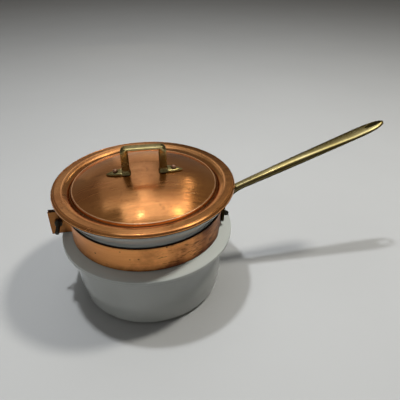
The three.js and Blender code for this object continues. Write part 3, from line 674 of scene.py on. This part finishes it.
# Hand polish along the handle: fine lines a few centimetres long.
along = add(tree, "VectorMath", {0: place, 1: (30.0, 900.0, 900.0)}, operation="MULTIPLY")
polish = add(tree, "TexNoise", {"Vector": along, "Scale": 1.0, "Detail": 4.0})
shine = add(tree, "MapRange", {0: polish, 1: 0.3, 2: 0.72, 3: 0.11, 4: 0.2})
dull = add(tree, "Math", {0: darkened, 1: 0.2}, operation="MULTIPLY")
shine = add(tree, "Math", {0: shine, 1: dull}, operation="ADD")
tree.links.new(shine, shader.inputs["Roughness"])
# The casting's skin stays very slightly uneven under the polish, over half a centimetre.
skin = add(tree, "TexNoise", {"Vector": place, "Scale": 160.0, "Detail": 3.0})
skin = add(tree, "Bump", {"Strength": 0.15, "Distance": 0.25 * MM, "Height": skin})
fine = {"Strength": 0.1, "Distance": 0.03 * MM, "Height": polish, "Normal": skin}
tree.links.new(add(tree, "Bump", fine), shader.inputs["Normal"])


def handle_darkening(x, y, z):
    """Painted shade on the plate, in the shade under the lid's brim, and in the slot with its
    walls; the blade's lower face and both flanks, the far one from the middle on, are darker,
    patina together with painted shade. Only the crown's near side stays bright."""
    middle = np.interp(x, handle_path[:, 0], handle_path[:, 1])
    s = np.interp(x, handle_path[:, 0], handle_run)
    half = waist_width + end_width * handle_forms(s)[1]
    near = 0.8 * np.clip((-y / half - 0.76) / 0.14, 0, 1)
    far = 0.5 * np.clip((y / half + 0.35) / 0.5, 0, 1)
    under = 0.95 * np.clip((middle - z + 0.9) / 1.3, 0, 1)
    slot = np.hypot((s - hole_middle) / (hole_half_length + 1.5), y / hole_half_width)
    in_slot = np.clip((1.15 - slot) / 0.1, 0, 1) * (s > handle_length - 25)
    plate = np.clip((84 - x) / 3, 0, 1)
    return np.max([near, far, under, 0.95 * in_slot, 0.92 * plate], 0)


handle_parts = [mounting_plate(), *handle_grids()]
add_piece("brass_handle", handle_parts, "pot", ["handle"], brass, handle_darkening)

# Plate rivets. Iron rivets with tall button heads, drawn up through plate and band and
# filed flush inside; blackened like the bolt.


def rivet_line(shank, head, head_height, length, tail=0.0, tail_height=0.0):
    """A rivet's outline as (radius, height), its head's seat at 0: shank, button head, and
    a low tail where it is peened over, if it has one. The head goes as (r cos^0.9 a,
    h sin a), a dome a little fuller at its rim than a circle's."""
    crown = np.linspace(0, math.pi / 2, 20)
    button = np.stack([head * np.cos(crown) ** 0.9, head_height * np.sin(crown)], 1)
    lower = [(0, -length - tail_height), (shank, -length - tail_height), (shank, -0.001)]
    if tail_height > 0:
        soft = tail_height / 2
        lower = [
            (0, -length - tail_height),
            (tail - soft, -length - tail_height),
            (tail, -length - soft),
            (tail, -length),
            (shank, -length),
            (shank, -0.001),
        ]
    return np.concatenate([np.array(lower), [[head * 0.96, -0.001]], button])


plate_rivet = {"shank": 1.8, "head": 2.8, "head_height": 3.9, "length": 5.1}
rivet_angle = 21.0 / plate_inner  # 21 mm round from the handle's middle
for name, node, side in (
    ("plate_rivet_near", "handle_rivet_near", -1),
    ("plate_rivet_far", "handle_rivet_far", 1),
):
    direction = np.array([math.cos(rivet_angle), side * math.sin(rivet_angle), 0])
    seat = direction * (plate_outer + seat_gap) + np.array([0, 0, band_middle])
    shape = turned(rivet_line(**plate_rivet), 48)
    add_piece(name, [stand(shape, seat, direction)], "pot", [node], black_steel)

# Lid. Spun from one sheet of copper over a form: flat brim with a rolled edge, a cove that
# drops into the pot's mouth, and a low dome inside a fine raised line. It is rubbed to a
# satin; the rim's edge is darkened with painted shade, the groove is darkened, and the
# raised line carries a painted highlight.

lid_radius, lid_sheet, brim_z = 88.877, 1.6, 125.3
dome_end, dome_radius, dome_edge, dome_rise, dome_curve = 68.7, 71.1, 122.4, 13.2, 2.66
cove_top, cove_round, cove_turn = 81.5, 11.0, 56


def dome_z(radius):
    """Height of the dome's upper face: edge + rise (1 - (r / radius)^2.66), which is flat in
    the middle and steepens outward."""
    return dome_edge + dome_rise * (1 - (radius / dome_radius) ** dome_curve)


def lid_outline():
    """The lid's closed section from the top's middle over the brim's edge to the middle
    underneath: dome, raised line, narrow groove, a cove of radius R that climbs to the brim
    (r0 - R sin a, brim - R + R cos a), the brim with a shallow crease before its rolled
    edge, and the same dome and cove again a sheet's thickness below."""
    radius = np.linspace(0, dome_end, 70)
    dome = np.stack([radius, dome_z(radius)], 1)
    line_and_groove = rounded([
        (*dome[-1], 0),
        (69.2, 123.32, 0.5),
        (69.9, 123.45, 0.4),
        (70.6, 123.2, 0.4),
        (71.1, 120.9, 0.7),
        (71.9, 120.25, 0.5),
        (72.3, 120.4, 0),
    ])
    centre = np.array([cove_top, brim_z - cove_round])
    angle = np.radians(np.linspace(cove_turn, 0, 26))[:, None]
    cove = centre + cove_round * np.hstack([-np.sin(angle), np.cos(angle)])
    crease = rounded([
        (cove_top, brim_z, 0),
        (85.5, brim_z, 0.8),
        (86.0, brim_z - 0.3, 0.5),
        (86.4, 124.95, 0),
    ])
    rolled = rounded([
        (86.3, 124.9, 0),
        (86.7, brim_z - 0.05, 0.3),
        (88.2, 124.6, 1),
        (lid_radius, 123.4, 1.2),
        (lid_radius, 121.8, 0.5),
        (87.2, 121.7, 0),
    ])
    top = [dome, line_and_groove[1:], cove, crease[1:-1], rolled, [(86.2, brim_z - lid_sheet)]]
    angle = np.radians(np.linspace(0, cove_turn, 20))[:, None]
    back = centre + (cove_round - lid_sheet) * np.hstack([-np.sin(angle), np.cos(angle)])
    step = rounded([(*back[-1], 0), (72, 118.6, 1), (70.2, 119, 1), (69.2, 121.6, 0)])
    under = dome[::-1] - [0, lid_sheet]
    line = np.concatenate([*top, back, step[1:-1], under])
    return np.concatenate([line[:1], spread(line[1:-1], 1.2), line[-1:]])


lid_copper, tree, shader = finish_of("spun_satin_copper", 0.3, metallic=1.0)
place = add(tree, "TexCoord", {}, out=3)
level = add(tree, "VectorMath", {0: place, 1: (1.0, 1.0, 0.0)}, operation="MULTIPLY")
outward = add(tree, "VectorMath", {0: level}, operation="NORMALIZE")
reach = add(tree, "VectorMath", {0: level}, out=1, operation="LENGTH")
# Spinning lines: rings half a millimetre apart that fade in and out along the circle.
rings = lines_round(tree, outward, reach, 2.0, 1500.0)
# Hand rubbing straight across, in streaks along X some 40 mm long.
rub_at = add(tree, "VectorMath", {0: place, 1: (26.0, 420.0, 26.0)}, operation="MULTIPLY")
rub = add(tree, "TexNoise", {"Vector": rub_at, "Scale": 1.0, "Detail": 5.0, "Roughness": 0.6})
# Heat and fingers have clouded it in soft patches of two or three centimetres, and left
# brown stains of half a centimetre here and there.
cloud = add(tree, "TexNoise", {"Vector": place, "Scale": 26.0, "Detail": 6.0, "Roughness": 0.58})
cloud = add(tree, "MapRange", {0: cloud, 1: 0.4, 2: 0.75, 3: 0.0, 4: 1.0})
bright = add(tree, "Mix", {0: rings, 6: linear("f6b273"), 7: linear("ea9f5e")}, **blend)
shade = add(tree, "Math", {0: cloud, 1: 0.6}, operation="MULTIPLY")
colour = add(tree, "Mix", {0: shade, 6: bright, 7: linear("b86a3c")}, **blend)
stain_at = add(tree, "TexNoise", {"Vector": place, "Scale": 150.0, "Detail": 6.0})
stain = add(tree, "MapRange", {0: stain_at, 1: 0.62, 2: 0.78, 3: 0.0, 4: 0.5})
colour = add(tree, "Mix", {0: stain, 6: colour, 7: linear("8a4d2a")}, **blend)
# The raised line round the dome is painted pale, a painted highlight along its crest.
inner = add(tree, "MapRange", {0: reach, 1: 69.4 * MM, 2: 69.7 * MM, 3: 0.0, 4: 0.75})
outer = add(tree, "MapRange", {0: reach, 1: 70.4 * MM, 2: 70.7 * MM, 3: 1.0, 4: 0.0})
ridge = add(tree, "Math", {0: inner, 1: outer}, operation="MULTIPLY")
colour = add(tree, "Mix", {0: ridge, 6: colour, 7: linear("f6c9a2")}, **blend)
# From the attribute: almost black on the brim's edge, painted shade where it meets the pot,
# brown and thin in the groove. It browns what is mirrored at a slant too.
rim = add(tree, "MapRange", {0: reach, 1: 78 * MM, 2: 80 * MM, 3: 0.0, 4: 1.0})
rim_and_groove_colour = add(tree, "Mix", {0: rim, 6: linear("8f6f52"), 7: linear("2e2114")}, **blend)
darkened = add(tree, "Attribute", {}, out=2, attribute_name="tarnish_and_shade")
colour = add(tree, "Mix", {0: darkened, 6: colour, 7: rim_and_groove_colour}, **blend)
tint = add(tree, "Mix", {0: darkened, 6: linear("ffffff"), 7: linear("5a4632")}, **blend)
tree.links.new(tint, shader.inputs["Specular Tint"])
tree.links.new(colour, shader.inputs["Base Color"])
# Satin sheen, drawn out across the spinning lines, duller under the clouds and rubs.
sheen = add(tree, "MapRange", {0: rub, 1: 0.35, 2: 0.65, 3: 0.11, 4: 0.25})
veil = add(tree, "Math", {0: cloud, 1: 0.05}, operation="MULTIPLY")
sheen = add(tree, "Math", {0: sheen, 1: veil}, operation="ADD")
tree.links.new(sheen, shader.inputs["Roughness"])
shader.inputs["Anisotropic"].default_value = 0.45
tree.links.new(outward, shader.inputs["Tangent"])
spun = add(tree, "Bump", {"Strength": 0.25, "Distance": 0.03 * MM, "Height": rings})
fine = add(tree, "Bump", {"Strength": 0.3, "Distance": 0.05 * MM, "Height": rub, "Normal": spun})
tree.links.new(fine, shader.inputs["Normal"])


def lid_darkening(x, y, z):
    """Painted shade on the rolled edge's lower half with the face that rests on the pot; darker
    on the groove's wall and floor, and, at the rear right, on the cove and the brim."""
    reach = np.hypot(x, y)
    edge = np.clip((123.2 - z) / 0.5, 0, 1) * np.clip((reach - 81) / 1, 0, 1)
    wall = np.clip((reach - 70.6) / 0.3, 0, 1) * np.clip((73.2 - reach) / 1.5, 0, 1)
    wall = 0.85 * wall * np.clip((122.8 - z) / 0.6, 0, 1)
    rear = np.clip(np.cos(np.arctan2(y, x) - math.radians(52)) * 2 - 1, 0, 1)
    rear = 0.4 * rear * np.clip((reach - 70) / 2, 0, 1)
    return np.max([edge, rear, wall], 0)


lid_grid = turned(lid_outline(), 288)
add_piece("copper_lid", [lid_grid], "cover", ["lid"], lid_copper, lid_darkening)

# Lid handle. One brass casting: two posts and a bar as a bow with soft edges, on two
# pointed oval feet that lie on the dome. It sits a little off the lid's middle. Its corners
# are darkened with painted shade, and its posts and left foot are darker than the bar.

lid_turn = math.radians(-3)
bow_x, bow_y, bow_forward = 1.2, -1.0, -1.2
bow_half, bow_top, bow_bar, bow_post, bow_width = 21.6, 162.4, 2.8, 7.4, 9.4
outer_bend, inner_bend, bow_swell = 5.0, 1.2, 0.26
leaf_length, leaf_half, leaf_height, leaf_edge = 22.8, 6.3, 2.6, 0.78
lid_rivet_reach = 27.8


def on_lid(grid):
    """The lid's own turn about Z, a few degrees off the handle's line."""
    cos, sin = math.cos(lid_turn), math.sin(lid_turn)
    return grid @ np.array([[cos, -sin, 0], [sin, cos, 0], [0, 0, 1]]).T


def bow():
    """An inner and an outer outline with equally many points, posts, quarter bends and bar.
    Each pair spans a section, a rounded box as wide as the bow, that swells by the square
    of how near it is where the posts run into the feet. Both ends close on their middles."""
    foot = dome_z(bow_half) + seat_gap + 0.6
    quarter = np.linspace(0, math.pi / 2, 14)[1:-1]

    def outline(half, top, corner):
        """Left post and bend, bar, and the first two mirrored, as (x, z)."""
        post = np.stack([np.full(30, -half), np.linspace(foot, top - corner, 30)], 1)
        centre = np.array([corner - half, top - corner])
        bend = centre + corner * np.stack([-np.cos(quarter), np.sin(quarter)], 1)
        bar = np.stack([np.linspace(corner - half, half - corner, 41), np.full(41, top)], 1)
        left = np.concatenate([post, bend])
        return np.concatenate([left, bar, (left * [-1, 1])[::-1]])

    outer = outline(bow_half, bow_top, outer_bend)
    inner = outline(bow_half - bow_post, bow_top - bow_bar, inner_bend)
    middle, reach = (outer + inner) / 2, (outer - inner) / 2
    swell = 1 + bow_swell * np.clip(1 - (middle[:, 1] - foot) / 5, 0, 1) ** 2
    angle = np.linspace(0, 2 * math.pi, 57)
    in_plane = boxed(np.cos(angle), 0.55)[None, :, None] * reach[:, None] * swell[:, None, None]
    across = boxed(np.sin(angle), 0.55)[None, :] * bow_width / 2 * swell[:, None]
    x = middle[:, :1] + in_plane[:, :, 0] + bow_x
    z = middle[:, 1:] + in_plane[:, :, 1]
    tube = np.stack([x, across + bow_y + bow_forward, z], 2)
    return np.concatenate([drawn_in(tube[:1], 1.0), tube, drawn_in(tube[-1:], 1.0)])


def bow_foot(side):
    """A leaf on the dome, t from 0 at the post to 1 at its tip. The half width goes as
    (1 - t^2.5)^0.8, a little narrower at the post, the height as 1 - t^3 / 2, and the top
    is crowned as sin^0.7 across. The underside follows the dome."""
    along = np.sin(np.linspace(0, math.pi / 2, 60))[:, None]
    angle = np.linspace(0, 2 * math.pi, 65)[None, :]
    x = bow_x + side * (bow_half - bow_post + along * leaf_length)
    broad = 0.74 + 0.26 * np.sin(math.pi / 2 * np.minimum(along / 0.35, 1))
    half = leaf_half * broad * np.maximum(1 - along**2.5, 0) ** 0.8
    thick = leaf_height * (1 - 0.5 * along**3)
    y = bow_y + half * np.cos(angle)
    rise = np.maximum(np.sin(angle), 0)
    lift = np.where(np.sin(angle) < -1e-9, 0, leaf_edge + (thick - leaf_edge) * rise**0.7)
    z = dome_z(np.hypot(x, y)) + seat_gap + lift
    leaf = np.stack(np.broadcast_arrays(x, y, z), 2)
    return np.concatenate([drawn_in(leaf[:1], 1.0), leaf])


def bow_darkening(x, y, z):
    """Painted shade in the corners between posts and feet; darker in a ring round each rivet and
    over the left foot, and less so on the posts, the two bends and the far side of the bar's
    top, which leaves the top's near edge bright."""
    rise = z - dome_z(np.hypot(x, y))
    reach = np.abs(x - bow_x)
    corner = 0.85 * np.clip(1 - np.abs(reach - 18) / 5, 0, 1) * np.clip(1 - rise / 6, 0, 1)
    from_rivet = np.hypot(reach - lid_rivet_reach, y - bow_y)
    ring = 0.7 * np.clip(1 - (from_rivet - 2.4) / 0.9, 0, 1)
    left = 0.45 * (x < -22)
    post = 0.45 * np.clip((bow_top - 5 - z) / 3, 0, 1) * (reach < 22)
    bend = 0.6 * np.clip((reach - 17) / 2, 0, 1) * np.clip((z - bow_top + 7) / 2, 0, 1)
    top = 0.4 * np.clip((y - bow_y + 4.2) / 1.5, 0, 1) * (z > bow_top - 1)
    return np.max([corner, ring, left, post, bend, top], 0)


bow_grids = [on_lid(grid) for grid in (bow(), bow_foot(-1), bow_foot(1))]
add_piece("brass_bow", bow_grids, "cover", ["lid_handle"], brass, bow_darkening)

# Lid rivets. Copper, through foot and lid, with low button heads and tails peened under
# the lid; rubbed bright on top and pink beside the brass.

rivet_copper, tree, shader = finish_of("rubbed_rivet_copper", 0.3, metallic=1.0)
place = add(tree, "TexCoord", {}, out=3)
# Pale pink, with browner and duller patches of a millimetre or two.
mottle = add(tree, "TexNoise", {"Vector": place, "Scale": 600.0, "Detail": 5.0})
colour = add(tree, "Mix", {0: mottle, 6: linear("ecc0a4"), 7: linear("b07c62")}, **blend)
tree.links.new(colour, shader.inputs["Base Color"])
rough = add(tree, "MapRange", {0: mottle, 1: 0.3, 2: 0.7, 3: 0.22, 4: 0.45})
tree.links.new(rough, shader.inputs["Roughness"])
# Hammer facets about a millimetre wide.
facets = add(tree, "TexVoronoi", {"Vector": place, "Scale": 750.0}, feature="SMOOTH_F1")
relief = add(tree, "Bump", {"Strength": 0.5, "Distance": 0.1 * MM, "Height": facets})
tree.links.new(relief, shader.inputs["Normal"])

lid_rivet = {"shank": 1.6, "head": 2.5, "head_height": 1.8, "length": 5.1}
lid_rivet |= {"tail": 3.0, "tail_height": 1.1}
for name, side in (("lid_rivet_left", -1), ("lid_rivet_right", 1)):
    x, y = bow_x + side * lid_rivet_reach, bow_y
    reach = math.hypot(x, y)
    slope = float(dome_z(reach + 0.5) - dome_z(reach - 0.5))
    out = np.array([-slope * x / reach, -slope * y / reach, 1])
    out = out / np.linalg.norm(out)
    seat = np.array([x, y, dome_z(reach)]) + out * (seat_gap + leaf_height + seat_gap)
    shape = turned(rivet_line(**lid_rivet), 48)
    grid = on_lid(stand(shape, seat, out))
    add_piece(name + "_head", [grid], "cover", [name], rivet_copper)

# Floor. Plain, pale and matt, twelve metres square, to take the pot's shadows. It is there
# for the picture only.

floor_mesh = bpy.data.meshes.new("floor")
floor_mesh.from_pydata([(-6, -5, 0), (6, -5, 0), (6, 7, 0), (-6, 7, 0)], [], [(0, 1, 2, 3)])
floor = bpy.data.objects.new("floor", floor_mesh)
bpy.context.scene.collection.objects.link(floor)
floor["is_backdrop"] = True
paper, tree, shader = finish_of("pale_paper", 0.85, ior=1.45)
place = add(tree, "TexCoord", {}, out=3)
# Very faintly uneven, in patches the size of a hand.
grain = add(tree, "TexNoise", {"Vector": place, "Scale": 6.0, "Detail": 3.0})
colour = add(tree, "Mix", {0: grain, 6: linear("c8cacb"), 7: linear("c3c5c6")}, **blend)
# It throws less light back up at the pot than a surface this pale would.
bounce = add(tree, "LightPath", {}, out=2)
colour = add(tree, "Mix", {0: bounce, 6: colour, 7: linear("a8aaab")}, **blend)
tree.links.new(colour, shader.inputs["Base Color"])
floor_mesh.materials.append(paper)

# Light. Overlapping soft panels overhead and behind are what the copper and brass mirror as
# bright bands and edges, with two small glints on the dome. Two lamps draw the two shadows,
# and two dim fills and a low even grey all round lighten them.


def lamp(name, kind, spot, aim, power, colour, **settings):
    """A light at a spot, turned towards an aim, both in millimetres, with its power in watts
    and whatever else its kind can be told."""
    data = bpy.data.lights.new(name, kind)
    data.energy = power
    data.color = colour
    for key, value in settings.items():
        setattr(data, key, value)
    made = bpy.data.objects.new(name, data)
    made.location = Vector(spot) * MM
    made.rotation_euler = (Vector(aim) - Vector(spot)).to_track_quat("-Z", "Y").to_euler()
    bpy.context.scene.collection.objects.link(made)
    return made


def panel(name, middle, length, width, light, colour, turn=0, shades=True):
    """A soft rectangle that faces down, as bright to look at as its light says. Panels that
    overlap lie a little apart in height, so that their light adds up. One that doesn't
    shade is seen in mirroring surfaces only."""
    power = light * math.pi * length * width * MM**2
    shape = {"shape": "RECTANGLE", "size": width * MM, "size_y": length * MM}
    made = lamp(name, "AREA", middle, (*middle[:2], 0), power, colour, **shape)
    made.rotation_euler = (0, 0, math.radians(turn))
    made.visible_diffuse = shades
    return made


neutral, warm = (0.97, 0.985, 1.0), (1.0, 0.96, 0.88)
gilt, amber, yellow = (1.0, 0.93, 0.72), (1.0, 0.84, 0.6), (1.0, 0.8, 0.4)
for name, middle, length, width, light in (
    ("ceiling_near", (140, 250, 1130), 450, 860, 0.82),
    ("ceiling_core", (165, 300, 1140), 480, 750, 0.2),
    ("ceiling_mid", (30, 600, 1150), 320, 1140, 0.2),
    ("ceiling_far", (20, 960, 1160), 1040, 1160, 0.14),
    ("ceiling_strip", (45, 950, 1170), 1060, 170, 0.4),
    ("ceiling_line", (10, 800, 1180), 760, 100, 0.3),
    ("ceiling_end", (90, 1930, 1190), 940, 300, 0.46),
    ("ceiling_left", (-400, 1700, 1190), 700, 420, 0.2),
):
    panel(name, middle, length, width, light, neutral)
# Two narrow ones at the right edge the dome and the brim with a warm line.
panel("warm_edge_near", (612, 560, 1200), 660, 130, 1.25, gilt, turn=-4, shades=False)
panel("warm_edge_far", (735, 1240, 1210), 560, 130, 1.6, gilt, turn=-8, shades=False)
# Two upright ones behind the pot give the dome's rear slope its warm sheen.
back_distance, back_middle, back_height = 1200, 290, 560
for name, x, width, light in (("back_wide", 40, 360, 0.36), ("back_left", -330, 380, 0.1)):
    power = light * math.pi * width * back_height * MM**2
    shape = {"shape": "RECTANGLE", "size": width * MM, "size_y": back_height * MM}
    spot, aim = (x, back_distance, back_middle), (x, 0, back_middle)
    back = lamp(name, "AREA", spot, aim, power, amber, **shape)
    back.visible_diffuse = back.visible_camera = False
# The fills and the lamps light the pot without showing in the metal.
overhead = panel("ceiling_fill", (-250, -100, 1300), 700, 700, 0.5, neutral)
side = lamp("side_fill", "AREA", (-2200, -720, 640), (0, 0, 60), 6.2, neutral, size=1.4)
overhead.visible_glossy = side.visible_glossy = False
for name, spot, power, colour, softness in (
    ("lamp_left", (-111, 45, 1196), 23.0, neutral, 0.03),
    ("lamp_right", (575, -59, 1215), 31.5, warm, 0.075),
):
    shadow_lamp = lamp(name, "POINT", spot, (0, 0, 0), power, colour, shadow_soft_size=softness)
    shadow_lamp.visible_glossy = False
for name, spot, size, light, colour in (
    ("glint_left", (-65, 143, 1000), 0.04, 14.0, warm),
    ("glint_right", (362, 147, 1000), 0.09, 5.0, yellow),
):
    glint = lamp(name, "AREA", spot, (0, 0, 130), light * math.pi * size**2, colour, size=size)
    glint.visible_diffuse = False

world = bpy.data.worlds.new("dim_surroundings")
bpy.context.scene.world = world
world.use_nodes = True
background = world.node_tree.nodes["Background"]
background.inputs[0].default_value = linear("c4bbae")
# The dim surroundings show in the metal, and light the pot only faintly.
ray = add(world.node_tree, "LightPath", {}, out=3)
level = add(world.node_tree, "MapRange", {0: ray, 1: 0.0, 2: 1.0, 3: 0.1, 4: 0.24})
world.node_tree.links.new(level, background.inputs[1])

# Camera. It is held in front of the pot, above it and a little to its left, and looks down.
# Its place, lens and turn were fitted together with the sizes, from one view of the pot.

camera_data = bpy.data.cameras.new("camera")
camera_data.lens = 35.94
camera_data.sensor_width = 36.0
camera = bpy.data.objects.new("camera", camera_data)
right = Vector((0.9775, -0.211, 0.0))
ahead = Vector((0.1761, 0.8157, -0.5511))
up = right.cross(ahead)
turn = Matrix((right, up, -ahead)).transposed()
camera.location = Vector((-18.0, -343.1, 325.1)) * MM
camera.rotation_euler = turn.to_euler()
bpy.context.scene.collection.objects.link(camera)
bpy.context.scene.camera = camera

scene = bpy.context.scene
scene.view_settings.view_transform = "Standard"

low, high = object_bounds()
